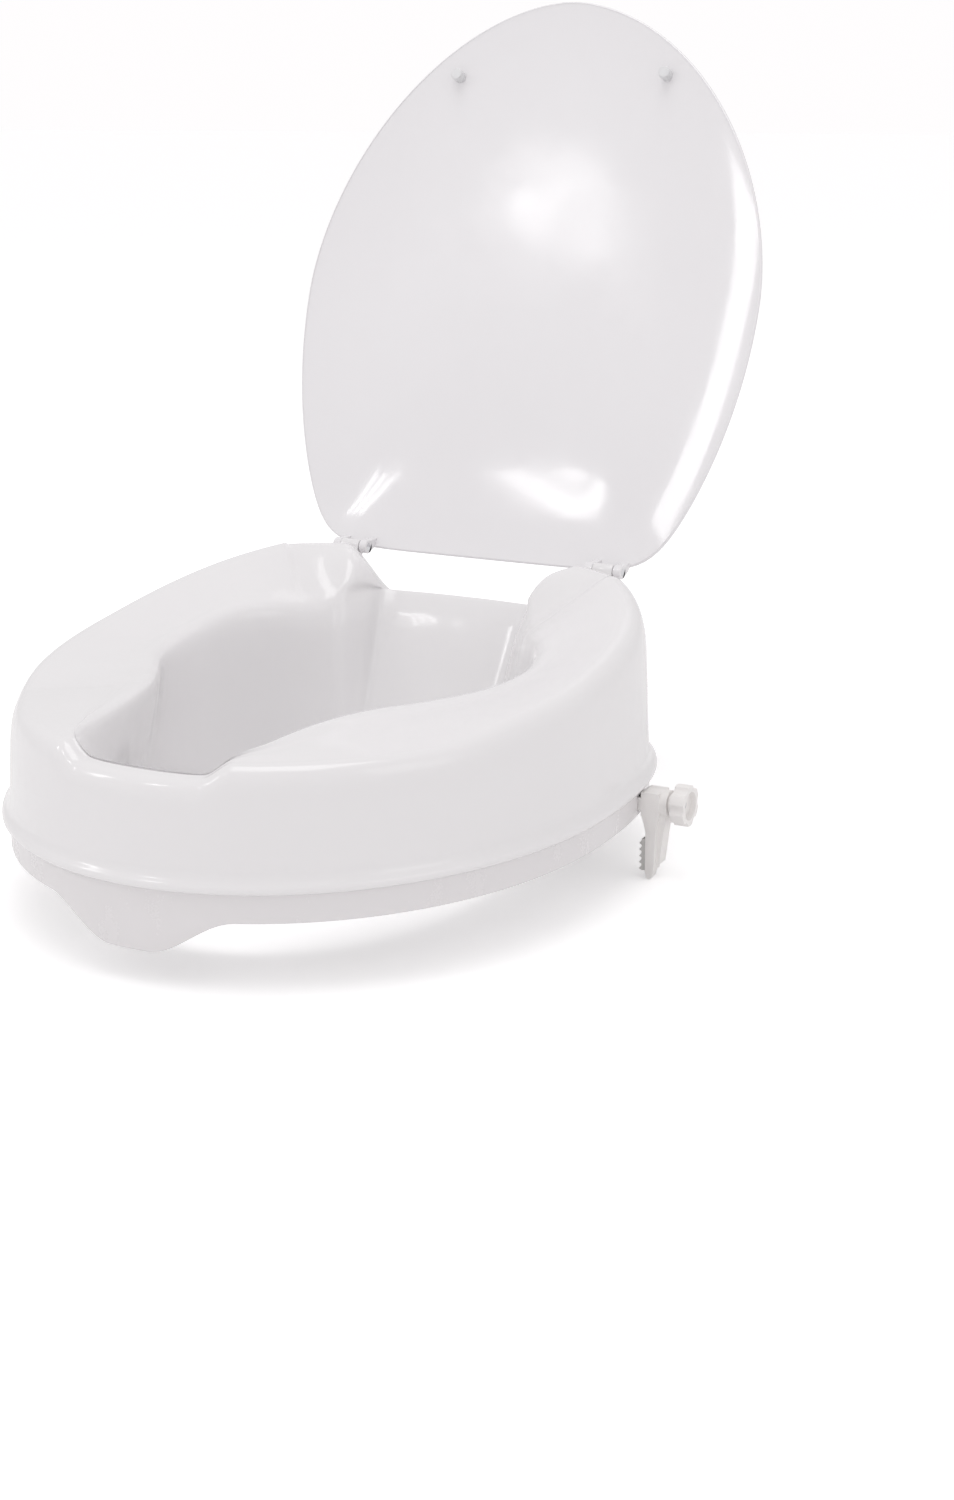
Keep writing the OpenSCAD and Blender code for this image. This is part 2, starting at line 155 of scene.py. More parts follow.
def math_node(tree, op, a, b, clamp=False):
    n = tree.nodes.new("ShaderNodeMath")
    n.operation = op
    n.use_clamp = clamp
    for i, v in enumerate((a, b)):
        if isinstance(v, (int, float)):
            n.inputs[i].default_value = v
        elif v is not None:
            tree.links.new(v, n.inputs[i])
    return n.outputs[0]


def noise(tree, coords, scale, detail=3.0, rough=0.5, stretch=None):
    src = coords
    if stretch:
        mp = tree.nodes.new("ShaderNodeMapping")
        mp.inputs["Scale"].default_value = stretch
        tree.links.new(coords, mp.inputs["Vector"])
        src = mp.outputs["Vector"]
    n = tree.nodes.new("ShaderNodeTexNoise")
    n.inputs["Scale"].default_value = scale
    n.inputs["Detail"].default_value = detail
    n.inputs["Roughness"].default_value = rough
    tree.links.new(src, n.inputs["Vector"])
    return n.outputs["Fac"]


def ramp(tree, value, lo, hi, out_lo, out_hi):
    n = tree.nodes.new("ShaderNodeMapRange")
    n.inputs["From Min"].default_value = lo
    n.inputs["From Max"].default_value = hi
    for key, v in (("To Min", out_lo), ("To Max", out_hi)):
        if isinstance(v, (int, float)):
            n.inputs[key].default_value = v
        else:
            tree.links.new(v, n.inputs[key])
    tree.links.new(value, n.inputs["Value"])
    return n.outputs["Result"]


def mix_color(tree, fac, a, b):
    n = tree.nodes.new("ShaderNodeMix")
    n.data_type = "RGBA"
    for sock, v in ((n.inputs[0], fac), (n.inputs[6], a), (n.inputs[7], b)):
        if isinstance(v, bpy.types.NodeSocket):
            tree.links.new(v, sock)
        else:
            sock.default_value = v
    return n.outputs[2]


def moulded_skin_group():
    """Moulded plastic: slow colour drift, fine scuffs in the shine and a shallow orange peel."""
    g, gi, go = group("moulded_skin", [
        ("Color", "NodeSocketColor", (0.9, 0.9, 0.9, 1)), ("Tint", "NodeSocketColor", (0.85, 0.85, 0.87, 1)),
        ("Shine", "NodeSocketFloat", 0.2), ("Scuff", "NodeSocketFloat", 0.1),
        ("Peel", "NodeSocketFloat", 0.5), ("Grain", "NodeSocketFloat", 0.0)],
        [("Color", "NodeSocketColor"), ("Roughness", "NodeSocketFloat"), ("Height", "NodeSocketFloat")])
    co = g.nodes.new("ShaderNodeTexCoord").outputs["Object"]
    drift = noise(g, co, 7.0, 4.0, 0.55)
    fine = noise(g, co, 900.0, 2.0, 0.6)
    smear = noise(g, co, 38.0, 6.0, 0.62, (1.0, 1.0, 0.45))
    peel = noise(g, co, 95.0, 1.5, 0.4)
    grain = noise(g, co, 2600.0, 2.0, 0.7)
    wash = ramp(g, drift, 0.35, 0.7, 0.0, 0.55)
    g.links.new(mix_color(g, wash, gi.outputs["Color"], gi.outputs["Tint"]), go.inputs["Color"])
    spread = math_node(g, "MULTIPLY", ramp(g, smear, 0.4, 0.75, -0.25, 1.0), gi.outputs["Scuff"])
    tiny = math_node(g, "MULTIPLY", ramp(g, fine, 0.3, 0.7, -0.2, 0.2), gi.outputs["Scuff"])
    total = math_node(g, "ADD", gi.outputs["Shine"], math_node(g, "ADD", spread, tiny))
    g.links.new(math_node(g, "MAXIMUM", total, 0.04), go.inputs["Roughness"])
    h1 = math_node(g, "MULTIPLY", peel, gi.outputs["Peel"])
    h2 = math_node(g, "MULTIPLY", grain, gi.outputs["Grain"])
    g.links.new(math_node(g, "ADD", h1, h2), go.inputs["Height"])
    return g


def wear_and_highlight_edge_group():
    """Mask that rises on convex corners, broken up; it roughens handled edges as wear and lightens their
    colour, partly as wear and partly as a painted edge highlight.
    """
    g, gi, go = group("wear_and_highlight_edge", [
        ("Width", "NodeSocketFloat", 0.0008), ("Amount", "NodeSocketFloat", 0.5)],
        [("Mask", "NodeSocketFloat")])
    bev = g.nodes.new("ShaderNodeBevel")
    bev.samples = 4
    g.links.new(gi.outputs["Width"], bev.inputs["Radius"])
    geo = g.nodes.new("ShaderNodeNewGeometry")
    dot = g.nodes.new("ShaderNodeVectorMath")
    dot.operation = "DOT_PRODUCT"
    g.links.new(bev.outputs["Normal"], dot.inputs[0])
    g.links.new(geo.outputs["Normal"], dot.inputs[1])
    edge = ramp(g, dot.outputs["Value"], 0.995, 0.86, 0.0, 1.0)
    co = g.nodes.new("ShaderNodeTexCoord").outputs["Object"]
    broken = ramp(g, noise(g, co, 420.0, 4.0, 0.65), 0.38, 0.66, 0.15, 1.0)
    m = math_node(g, "MULTIPLY", edge, broken)
    g.links.new(math_node(g, "MULTIPLY", m, gi.outputs["Amount"], True), go.inputs["Mask"])
    return g


def brushed_group():
    """Turned or plated steel: grain along X, faint blotches in the plating."""
    g, gi, go = group("brushed_grain", [
        ("Color", "NodeSocketColor", (0.7, 0.7, 0.72, 1)), ("Dull", "NodeSocketColor", (0.5, 0.5, 0.5, 1)),
        ("Shine", "NodeSocketFloat", 0.3), ("Grain", "NodeSocketFloat", 0.4)],
        [("Color", "NodeSocketColor"), ("Roughness", "NodeSocketFloat"), ("Height", "NodeSocketFloat")])
    co = g.nodes.new("ShaderNodeTexCoord").outputs["Object"]
    lines = noise(g, co, 900.0, 3.0, 0.6, (0.08, 1.0, 1.0))
    blot = noise(g, co, 160.0, 3.0, 0.6)
    g.links.new(mix_color(g, ramp(g, blot, 0.45, 0.75, 0.0, 0.6), gi.outputs["Color"],
                          gi.outputs["Dull"]), go.inputs["Color"])
    g.links.new(math_node(g, "ADD", gi.outputs["Shine"], ramp(g, blot, 0.3, 0.8, -0.05, 0.14)),
                go.inputs["Roughness"])
    g.links.new(math_node(g, "MULTIPLY", lines, gi.outputs["Grain"]), go.inputs["Height"])
    return g


SKIN = moulded_skin_group()
EDGE = wear_and_highlight_edge_group()
BRUSHED = brushed_group()


def plastic(name, color, tint, shine, scuff, peel, grain, coat, bump, edge=0.35, edge_w=0.0008,
            edge_wear_and_highlight_color=(0.97, 0.97, 0.97, 1), glow=0.0):
    m = bpy.data.materials.new(name)
    m.use_nodes = True
    t = m.node_tree
    bsdf = t.nodes["Principled BSDF"]
    sk = t.nodes.new("ShaderNodeGroup")
    sk.node_tree = SKIN
    for key, v in (("Color", color), ("Tint", tint), ("Shine", shine), ("Scuff", scuff),
                   ("Peel", peel), ("Grain", grain)):
        sk.inputs[key].default_value = v
    ed = t.nodes.new("ShaderNodeGroup")
    ed.node_tree = EDGE
    ed.inputs["Width"].default_value = edge_w
    ed.inputs["Amount"].default_value = edge
    # convex edges are mixed towards a lighter colour: partly edge wear, partly a painted edge highlight
    t.links.new(mix_color(t, ed.outputs["Mask"], sk.outputs["Color"], edge_wear_and_highlight_color), bsdf.inputs["Base Color"])
    rough = math_node(t, "ADD", sk.outputs["Roughness"], math_node(t, "MULTIPLY", ed.outputs["Mask"], 0.12))
    t.links.new(rough, bsdf.inputs["Roughness"])
    bp = t.nodes.new("ShaderNodeBump")
    bp.inputs["Strength"].default_value = bump
    bp.inputs["Distance"].default_value = 0.0004
    t.links.new(sk.outputs["Height"], bp.inputs["Height"])
    t.links.new(bp.outputs["Normal"], bsdf.inputs["Normal"])
    bsdf.inputs["IOR"].default_value = 1.49
    bsdf.inputs["Coat Weight"].default_value = coat
    bsdf.inputs["Coat Roughness"].default_value = 0.06
    bsdf.inputs["Subsurface Weight"].default_value = glow
    bsdf.inputs["Subsurface Radius"].default_value = (0.004, 0.004, 0.004)
    bsdf.inputs["Subsurface Scale"].default_value = 1.0
    return m


def steel(name, color, dull, shine, grain, bump):
    m = bpy.data.materials.new(name)
    m.use_nodes = True
    t = m.node_tree
    bsdf = t.nodes["Principled BSDF"]
    g = t.nodes.new("ShaderNodeGroup")
    g.node_tree = BRUSHED
    for key, v in (("Color", color), ("Dull", dull), ("Shine", shine), ("Grain", grain)):
        g.inputs[key].default_value = v
    ed = t.nodes.new("ShaderNodeGroup")
    ed.node_tree = EDGE
    ed.inputs["Width"].default_value = 0.0004
    ed.inputs["Amount"].default_value = 0.6
    # convex edges are mixed towards a lighter colour: partly edge wear, partly a painted edge highlight
    t.links.new(mix_color(t, ed.outputs["Mask"], g.outputs["Color"], (0.9, 0.9, 0.9, 1)),
                bsdf.inputs["Base Color"])
    t.links.new(g.outputs["Roughness"], bsdf.inputs["Roughness"])
    bp = t.nodes.new("ShaderNodeBump")
    bp.inputs["Strength"].default_value = bump
    bp.inputs["Distance"].default_value = 0.0001
    t.links.new(g.outputs["Height"], bp.inputs["Height"])
    t.links.new(bp.outputs["Normal"], bsdf.inputs["Normal"])
    bsdf.inputs["Metallic"].default_value = 1.0
    return m


seat_plastic = plastic("seat_plastic", (0.86, 0.847, 0.855, 1), (0.84, 0.827, 0.835, 1), 0.16, 0.10,
                       0.35, 0.03, 0.35, 0.10, edge=0.15)
ring_plastic = plastic("ring_plastic", (0.82, 0.80, 0.807, 1), (0.795, 0.775, 0.785, 1), 0.22, 0.12,
                       0.4, 0.05, 0.2, 0.12, edge=0.06, edge_w=0.0004)
lid_plastic = plastic("lid_plastic", (0.87, 0.857, 0.872, 1), (0.85, 0.835, 0.85, 1), 0.09, 0.07,
                      0.6, 0.02, 0.4, 0.14, edge=0.3)
buffer_plastic = plastic("buffer_plastic", (0.77, 0.77, 0.78, 1), (0.73, 0.73, 0.74, 1), 0.28, 0.1,
                         0.3, 0.1, 0.0, 0.1, edge_w=0.0005)
clamp_plastic = plastic("clamp_plastic", (0.93, 0.91, 0.895, 1), (0.89, 0.87, 0.855, 1), 0.42, 0.16,
                        0.4, 0.5, 0.0, 0.35, edge=0.6, edge_w=0.0006)
knob_plastic = plastic("knob_plastic", (0.93, 0.91, 0.895, 1), (0.89, 0.87, 0.855, 1), 0.36, 0.16,
                       0.4, 0.4, 0.0, 0.3, edge=0.6, edge_w=0.0006)
pad_rubber = plastic("pad_rubber", (0.68, 0.675, 0.66, 1), (0.60, 0.595, 0.58, 1), 0.62, 0.2,
                     0.5, 1.0, 0.0, 0.6, edge=0.5, edge_w=0.0005, edge_wear_and_highlight_color=(0.80, 0.80, 0.79, 1))
zinc_steel = steel("zinc_steel", (0.62, 0.63, 0.65, 1), (0.42, 0.43, 0.44, 1), 0.34, 1.0, 0.4)
hinge_steel = steel("hinge_steel", (0.74, 0.75, 0.77, 1), (0.55, 0.56, 0.57, 1), 0.18, 0.7, 0.25)

MATERIALS = {
    "gloss_white_plastic": seat_plastic, "lid_plastic": lid_plastic, "buffer_plastic": buffer_plastic,
    "clamp_plastic": clamp_plastic, "knob_plastic": knob_plastic, "pad_rubber": pad_rubber,
    "zinc_steel": zinc_steel, "hinge_steel": hinge_steel}
SLOT_OF = {s["node"]: s["material_slot"] for s in frame["record"]["subparts"]}
for node_name, node_ob in frame["nodes"].items():
    finish = MATERIALS[SLOT_OF[node_name]]
    if not node_ob.material_slots:
        node_ob.data.materials.append(finish)
    for ms in node_ob.material_slots:
        ms.material = finish


# ---------- seat shell, finer than the stored one ----------

HALF_W, FRONT, REAR, LIP = 184.0, 217.0, 196.0, 18.0
FUNNEL = (106.0, 160.0, 102.0)
FUNNEL_Z, WALL = -16.0, 3.5
RECESS_FLOOR, SHOULDER_RISE, SHOULDER_X = 74.0, 107.5, 124.0
NOTCH_DEPTH, LID_ROOM = 9.0, 0.4
# Angle on the plan, then x, y and height over the lip of the opening's edge.
EDGE_STATIONS = [
    (-90, 0, -190, 56.5), (-80, 28, -188.5, 56.5), (-76, 38, -187, 58), (-73, 45, -185.5, 63),
    (-70, 50, -180, 68), (-62, 54, -160, 69.5), (-52, 58, -132, 70.5), (-42, 64, -106, 71),
    (-33, 73, -80, 70.5), (-24, 88, -54, 69.5), (-14, 105, -26, 70), (-3, 113, 0, 70.5),
    (10, 115, 28, 72), (20, 111, 52, 75.5), (30, 103, 69, 78), (40, 91, 84, 77),
    (50, 79, 102, 73), (60, 70, 118, 72), (66, 64, 126, 73.5), (70, 58, 142, 76),
    (74, 54, 157, 77), (80, 36, 161.5, 77), (90, 0, 163, 77)]


def power(v, n):
    return abs(v) ** n


def egg(t, side, hw, front, rear):
    n = 2.0 if t < 0 else 2.55
    a = math.radians(t)
    c, s = power(math.cos(a), 2 / n), power(math.sin(a), 2 / n)
    return (side * hw * c, -front * s if t < 0 else rear * s)


def rim(t, side, inset):
    return egg(t, side, HALF_W - inset, FRONT - inset, REAR - inset)


def station(i):
    n = len(EDGE_STATIONS)
    if i < 0:
        s = EDGE_STATIONS[-i]
        return (-180 - s[0], -s[1], s[2], s[3])
    if i >= n:
        s = EDGE_STATIONS[2 * n - 2 - i]
        return (180 - s[0], -s[1], s[2], s[3])
    return EDGE_STATIONS[i]


def edge_at(t, side):
    i = max(k for k in range(len(EDGE_STATIONS) - 1) if EDGE_STATIONS[k][0] <= t)
    a, b, before, after = station(i), station(i + 1), station(i - 1), station(i + 2)
    h = b[0] - a[0]
    u = (t - a[0]) / h
    out = []
    for k in (1, 2, 3):
        ma = (b[k] - before[k]) / (b[0] - before[0])
        mb = (after[k] - a[k]) / (after[0] - a[0])
        out.append(a[k] * (2 * u**3 - 3 * u**2 + 1) + b[k] * (3 * u**2 - 2 * u**3)
                   + ma * h * (u**3 - 2 * u**2 + u) + mb * h * (u**3 - u**2))
    return (side * out[0], out[1], out[2])


def side_rise(y):
    return 67 + 1.5 * ease((y + 115) / 40) + 0.105 * max(0, y + 120) + 0.0004 * max(0, y + 30) ** 2


def lobe_rise(x):
    return RECESS_FLOOR + (SHOULDER_RISE - RECESS_FLOOR) * ease((x - 54) / 36)


def crest_rise(t):
    """Height of the seat's top edge over the lip, with room under the closed lid at the back."""
    x, y = rim(t, 1, 14)
    room = LID_ROOM * ease((t - 25) / 20)
    if t > 0 and x < SHOULDER_X:
        return lobe_rise(x) - room
    notch = NOTCH_DEPTH * (1 - ease((x - 38) / 18)) if t < 0 else 0
    return side_rise(y) - room - notch


def section(t, side):
    c, e = crest_rise(t), edge_at(t, side)
    b, o = egg(t, side, *FUNNEL), rim(t, side, 21)
    d = math.hypot(o[0] - e[0], o[1] - e[1])
    out = ((o[0] - e[0]) / max(0.01, d), (o[1] - e[1]) / max(0.01, d))
    bow = 5 * math.exp(-((t - 67) / 6) ** 2) * side
    swell = 7.5 * math.exp(-((t - 65) / 6) ** 2)

    def at(inset, z):
        p = rim(t, side, inset)
        return (p[0], p[1], LIP + z)

    def top(s, lift):
        return (mix(o[0], e[0], s) - bow * math.sin(math.pi * s), mix(o[1], e[1], s),
                LIP + mix(c, e[2], s) + lift + swell * math.sin(math.pi * s))

    def down(s, off):
        return (mix(e[0], b[0], s) + out[0] * off, mix(e[1], b[1], s) + out[1] * off,
                mix(LIP + e[2], FUNNEL_Z, s))

    knee = min(9, 3 + 0.2 * d)
    return [
        at(1.4, 0), at(0, 1.8), at(0.5, 4.2), at(3.0, 7), at(4.8, 12), at(7, c - 24), at(9, c - 11),
        at(12, c - 4), at(16, c - 0.8), top(0, 0), top(0.35, 0.6), top(0.7, 0.5),
        (e[0] + out[0] * knee * 0.6, e[1] + out[1] * knee * 0.6,
         LIP + e[2] + 1.8 + 0.5 * (c - e[2]) * knee / max(1, d) + 0.4 * swell),
        (e[0], e[1], LIP + e[2] - 1.5), down(0.12, -1.5), down(0.5, 0), down(1, 0),
        down(1, WALL * 0.8), down(0.5, WALL), down(0.13, WALL - 0.5),
        (e[0] + out[0] * WALL, e[1] + out[1] * WALL, LIP + e[2] - WALL - 2.5),
        at(16.5, c - 5), at(12.5, c - 13), at(10.5, c - 24), at(8.3, 12), at(8.3, 4),
        at(22, 4), at(22, 0)]


def curve_through(pts, steps, tight=0.5):
    """Points on a smooth curve through pts, with steps[i] stretches between pts[i] and pts[i + 1]."""
    out = []
    n = len(pts)
    for i in range(n - 1):
        p0, p1, p2 = pts[max(i - 1, 0)], pts[i], pts[i + 1]
        p3 = pts[min(i + 2, n - 1)]
        h = math.dist(p1, p2)
        a = math.dist(p0, p1) + h
        b = math.dist(p2, p3) + h
        for k in range(steps[i]):
            u = k / steps[i]
            q = []
            for j in range(3):
                ma = (p2[j] - p0[j]) / a * h if i > 0 else p2[j] - p1[j]
                mb = (p3[j] - p1[j]) / b * h if i < n - 2 else p2[j] - p1[j]
                q.append(p1[j] * (2 * u**3 - 3 * u**2 + 1) + p2[j] * (3 * u**2 - 2 * u**3)
                         + tight * 2 * (ma * (u**3 - 2 * u**2 + u) + mb * (u**3 - u**2)))
            out.append(tuple(q))
    out.append(pts[-1])
    return out


def half_stations(step, dense):
    ts, t = [], -90.0
    while t < 90 - 1e-6:
        ts.append(t)
        t += step * (0.5 if any(a <= t < b for a, b in dense) else 1.0)
    return ts + [90.0]


def around(ts, f):
    return [f(t, 1) for t in ts] + [f(t, -1) for t in reversed(ts[1:-1])]


def loft(rings):
    """Closed sweep of closed sections."""
    n, k = len(rings), len(rings[0])
    verts = [p for r in rings for p in r]
    faces = []
    for i in range(n):
        for j in range(k):
            a, b = i * k + j, i * k + (j + 1) % k
            c, d = ((i + 1) % n) * k + (j + 1) % k, ((i + 1) % n) * k + j
            faces.append((a, b, c, d))
    return verts, faces


OUTER_STEPS = [3, 3, 3, 3, 3, 3, 3, 4, 3, 4, 4, 4, 4, 4, 5, 5]


def make_seat_shell():
    def ring(t, side):
        pts = section(t, side)
        outer = curve_through(pts[:17], OUTER_STEPS)
        return [tuple(c * MM for c in p) for p in outer + pts[17:]]

    ts = half_stations(1.0, [(-80, -66), (56, 78)])
    verts, faces = loft(around(ts, ring))
    return new_piece("seat_moulding", keep_inside(verts, "seat_shell"), faces, seat_plastic,
                     "base", ["seat_shell"], sharp=50)


# ---------- base ring ----------

BAND_INSET, BAND_T, RING_Z, TONGUE_DROP, TONGUE_W = 4.3, 3.0, 1.0, 20.0, 12.0
SCREW_ANGLES = [-78, -40, -12, 22, 44, 80]
SCREW_INSET, COUNTERBORE_R, COLUMN_R = 15, 4.25, 6
CLAMP_Y = 65.0


def screw_places():
    """Where the ring screws stand, in metres, by angle and then by side."""
    places = []
    for t in SCREW_ANGLES:
        for s in (-1, 1):
            x, y = rim(t, s, SCREW_INSET)
            places.append((x * MM, y * MM))
    return places


def skirt_bottom(x, y):
    if y > -120:
        return RING_Z
    u = clamp01((abs(x) - TONGUE_W) / 48)
    return mix(RING_Z - TONGUE_DROP, RING_Z, ease(u))


def make_base_ring():
    def ring(t, side):
        px, py = rim(t, side, BAND_INSET)
        low = skirt_bottom(px, py)

        def p(inset, z):
            q = rim(t, side, inset)
            return (q[0] * MM, q[1] * MM, z * MM)

        def h(z):
            q = egg(t, side, 114.0, 176.0, 132.0)
            return (q[0] * MM, q[1] * MM, z * MM)
        inner = BAND_INSET + BAND_T
        return [p(BAND_INSET, LIP), p(BAND_INSET, mix(low, LIP, 0.6)), p(BAND_INSET, mix(low, LIP, 0.25)),
                p(BAND_INSET, low + 0.9), p(BAND_INSET + 0.12, low + 0.45), p(BAND_INSET + 0.45, low + 0.12),
                p(BAND_INSET + 0.9, low), p(inner - 0.5, low), p(inner - 0.1, low + 0.12),
                p(inner, low + 0.5), p(inner, max(RING_Z, low + 0.6)), p(inner + 2, RING_Z),
                h(RING_Z), h(4.0), p(inner, 4.0), p(inner, LIP)]

    verts, faces = loft(around(half_stations(1.0, []), ring))
    me = bpy.data.meshes.new("ring_base")
    me.from_pydata(keep_inside(verts, "base_ring"), [], faces)
    base = bpy.data.objects.new("ring_base_form", me)
    bpy.context.scene.collection.objects.link(base)
    cut = bmesh.new()
    for x, y in screw_places():
        bmesh.ops.create_cone(cut, cap_ends=True, segments=40, radius1=COUNTERBORE_R * MM,
                              radius2=COUNTERBORE_R * MM, depth=7 * MM,
                              matrix=Matrix.Translation((x, y, 2.5 * MM)))
    for s in (-1, 1):
        add_block(cut, (s * 172, CLAMP_Y, 8.75), (20, 17, 8.9))
    cm = bpy.data.meshes.new("ring_cuts")
    cut.to_mesh(cm)
    cut.free()
    co = bpy.data.objects.new("ring_cuts", cm)
    bpy.context.scene.collection.objects.link(co)
    mod = base.modifiers.new("cuts", "BOOLEAN")
    mod.operation = "DIFFERENCE"
    mod.solver = "EXACT"
    mod.object = co
    dg = bpy.context.evaluated_depsgraph_get()
    got = bpy.data.meshes.new_from_object(base.evaluated_get(dg))
    bm = bmesh.new()
    bm.from_mesh(got)
    for place in screw_places():
        add_tube(bm, place, COUNTERBORE_R * MM, COLUMN_R * MM, 4 * MM, 17.98 * MM)
    for s in (-1, 1):
        add_block(bm, (s * 136, CLAMP_Y, 9.25), (18, 24, 16.5))
    bm.to_mesh(got)
    bm.free()
    for o in (base, co):
        bpy.data.objects.remove(o)
    return finish_piece("base_ring_moulding", got, ring_plastic, "base",
                        ["base_ring"], sharp=35)


def add_block(bm, middle, size):
    """Box about its middle, both in millimetres."""
    m = Matrix.Translation(Vector(middle) * MM) @ Matrix.Diagonal((*(Vector(size) * MM), 1))
    return bmesh.ops.create_cube(bm, size=1.0, matrix=m)


def add_tube(bm, centre, r_in, r_out, z0, z1, n=40):
    """Closed thick tube with a lid at the top, for a screw column."""
    prof = [(r_out, z0), (r_out, z1), (1e-5, z1), (1e-5, z0 + 0.002), (r_in, z0 + 0.002), (r_in, z0)]
    grid = [[bm.verts.new((centre[0] + r * math.cos(a), centre[1] + r * math.sin(a), z)) for r, z in prof]
            for a in (2 * math.pi * i / n for i in range(n))]
    for i in range(n):
        for j in range(len(prof)):
            k = (j + 1) % len(prof)
            bm.faces.new((grid[i][j], grid[(i + 1) % n][j], grid[(i + 1) % n][k], grid[i][k]))


# ---------- lid ----------

HINGE = Vector((0.0, 0.1865, 0.1183))
OPEN = Matrix.Translation(HINGE) @ Matrix.Rotation(math.radians(-111), 4, "X")
LID_HALF, LID_LEN, LID_DOME, LID_T, LID_MID = 169.0, 387.0, 14.0, 3.0, 180.0
PAST, OVER = -0.6, 7.8
HINGE_X, POST_HALF, LUG_GAP, LUG_W = 95.0, 7.0, 0.4, 5.5


def egg_radius(c, s, b, n):
    return ((abs(c) / LID_HALF) ** n + (abs(s) / b) ** n) ** (-1 / n)


def lid_radius(phi):
    c, s = math.cos(phi), math.sin(phi)
    if s >= 0:
        return egg_radius(c, s, LID_LEN - LID_MID, 1.83)
    r = egg_radius(c, s, 255, 1.97)
    return (r ** -18 + (LID_MID / max(0.02, -s)) ** -18) ** (-1 / 18)


def lid_pt(q, phi, lift, shrink=0.0):
    r = q * lid_radius(phi) - shrink
    p = Vector((r * math.cos(phi), PAST - LID_MID - r * math.sin(phi),
                OVER + LID_DOME * (1 - q ** 4) + lift)) * MM
    return OPEN @ p


def make_lid():
    n = 240
    phis = [2 * math.pi * i / n for i in range(n)]
    qs = [0.08 + 0.92 * (1 - (1 - k / 26) ** 1.6) for k in range(26)]
    under = [(q, 0.0, 0.0) for q in qs] + [(1, 0.0, 1.1), (1, 0.12, 0.45), (1, 0.5, 0.08), (1, 1.2, 0.0)]
    upper = [(1, LID_T - 1.2, 0.0), (1, LID_T - 0.5, 0.08), (1, LID_T - 0.12, 0.45), (1, LID_T, 1.1)]
    upper += [(q, LID_T, 0.0) for q in reversed(qs)]
    rings = under + upper
    verts = [lid_pt(q, a, z, s) for q, z, s in rings for a in phis]
    k = len(rings)
    verts += [lid_pt(0, 0, 0), lid_pt(0, 0, LID_T)]
    faces = []
    for i in range(k - 1):
        for j in range(n):
            m = (j + 1) % n
            faces.append((i * n + j, i * n + m, (i + 1) * n + m, (i + 1) * n + j))
    for j in range(n):
        m = (j + 1) % n
        faces.append((k * n, m, j))
        faces.append((k * n + 1, (k - 1) * n + j, (k - 1) * n + m))
    me = bpy.data.meshes.new("lid_form")
    me.from_pydata([tuple(v) for v in verts], [], faces)
    bm = bmesh.new()
    bm.from_mesh(me)
    for s in (-1, 1):
        for end in (-1, 1):
            add_lug(bm, s * HINGE_X + end * (POST_HALF + LUG_GAP + LUG_W / 2) - LUG_W / 2)
    bm.to_mesh(me)
    bm.free()
    got = finish_piece("lid_moulding", me, lid_plastic, "lid", ["lid"], sharp=40)
    lo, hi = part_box("lid")
    for v in got.data.vertices:
        v.co = Vector(max(lo[i], min(hi[i], v.co[i])) for i in range(3))
    return got


def add_lug(bm, x0, w=LUG_W, r=4.6, bore=2.56, n=48):
    """Hinge lug: an eye with its bore, and a web from the eye up to the panel."""
    soft = 0.4
    turns = [2 * math.pi * i / n for i in range(n)]
    steps = ((x0, r - soft), (x0 + soft, r), (x0 + w - soft, r), (x0 + w, r - soft),
             (x0 + w, bore), (x0, bore))
    rings = [[bm.verts.new(OPEN @ (Vector((x, k * math.cos(a), k * math.sin(a))) * MM)) for a in turns]
             for x, k in steps]
    m = len(rings)
    for i in range(m):
        a, b = rings[i], rings[(i + 1) % m]
        for j in range(n):
            bm.faces.new((a[j], a[(j + 1) % n], b[(j + 1) % n], b[j]))
    web = [(-4.35, 0.8), (-3.0, 3.3), (2.6, 3.6), (4.1, 1.2), (-2.2, OVER + 1), (-8.5, OVER + 2.4)]
    cy = sum(p[0] for p in web) / len(web)
    cz = sum(p[1] for p in web) / len(web)
    loops = []
    for x, g in ((x0, 0.3), (x0 + soft, 0.0), (x0 + w - soft, 0.0), (x0 + w, 0.3)):
        loops.append([bm.verts.new(OPEN @ (Vector((x, mix(y, cy, g / 8), mix(z, cz, g / 8))) * MM))
                      for y, z in web])
    for i in range(3):
        a, b = loops[i], loops[i + 1]
        for j in range(len(web)):
            jj = (j + 1) % len(web)
            bm.faces.new((a[j], a[jj], b[jj], b[j]))
    bm.faces.new(loops[0])
    bm.faces.new(list(reversed(loops[3])))


# ---------- pieces softened from the stored solids ----------

def soften(node, name, material, body, width, segments=3, sharp=30):
    """A copy of a stored solid with its hard corners rounded."""
    me = frame["nodes"][node].data.copy()
    bm = bmesh.new()
    bm.from_mesh(me)
    bmesh.ops.remove_doubles(bm, verts=bm.verts, dist=2e-6)
    bmesh.ops.dissolve_limit(bm, angle_limit=math.radians(0.6), verts=bm.verts, edges=bm.edges)
    bm.to_mesh(me)
    bm.free()
    ob = bpy.data.objects.new(name + "_form", me)
    bpy.context.scene.collection.objects.link(ob)
    mod = ob.modifiers.new("round", "BEVEL")
    mod.width = width
    mod.segments = segments
    mod.limit_method = "ANGLE"
    mod.angle_limit = math.radians(sharp)
    mod.use_clamp_overlap = True
    dg = bpy.context.evaluated_depsgraph_get()
    got = bpy.data.meshes.new_from_object(ob.evaluated_get(dg))
    bpy.data.objects.remove(ob)
    for key in [a.name for a in got.attributes if a.name == "custom_normal"]:
        got.attributes.remove(got.attributes[key])
    return finish_piece(name, got, material, body, [node], sharp=38)


# ---------- fasteners and clamp teeth, repeated by geometry nodes ----------

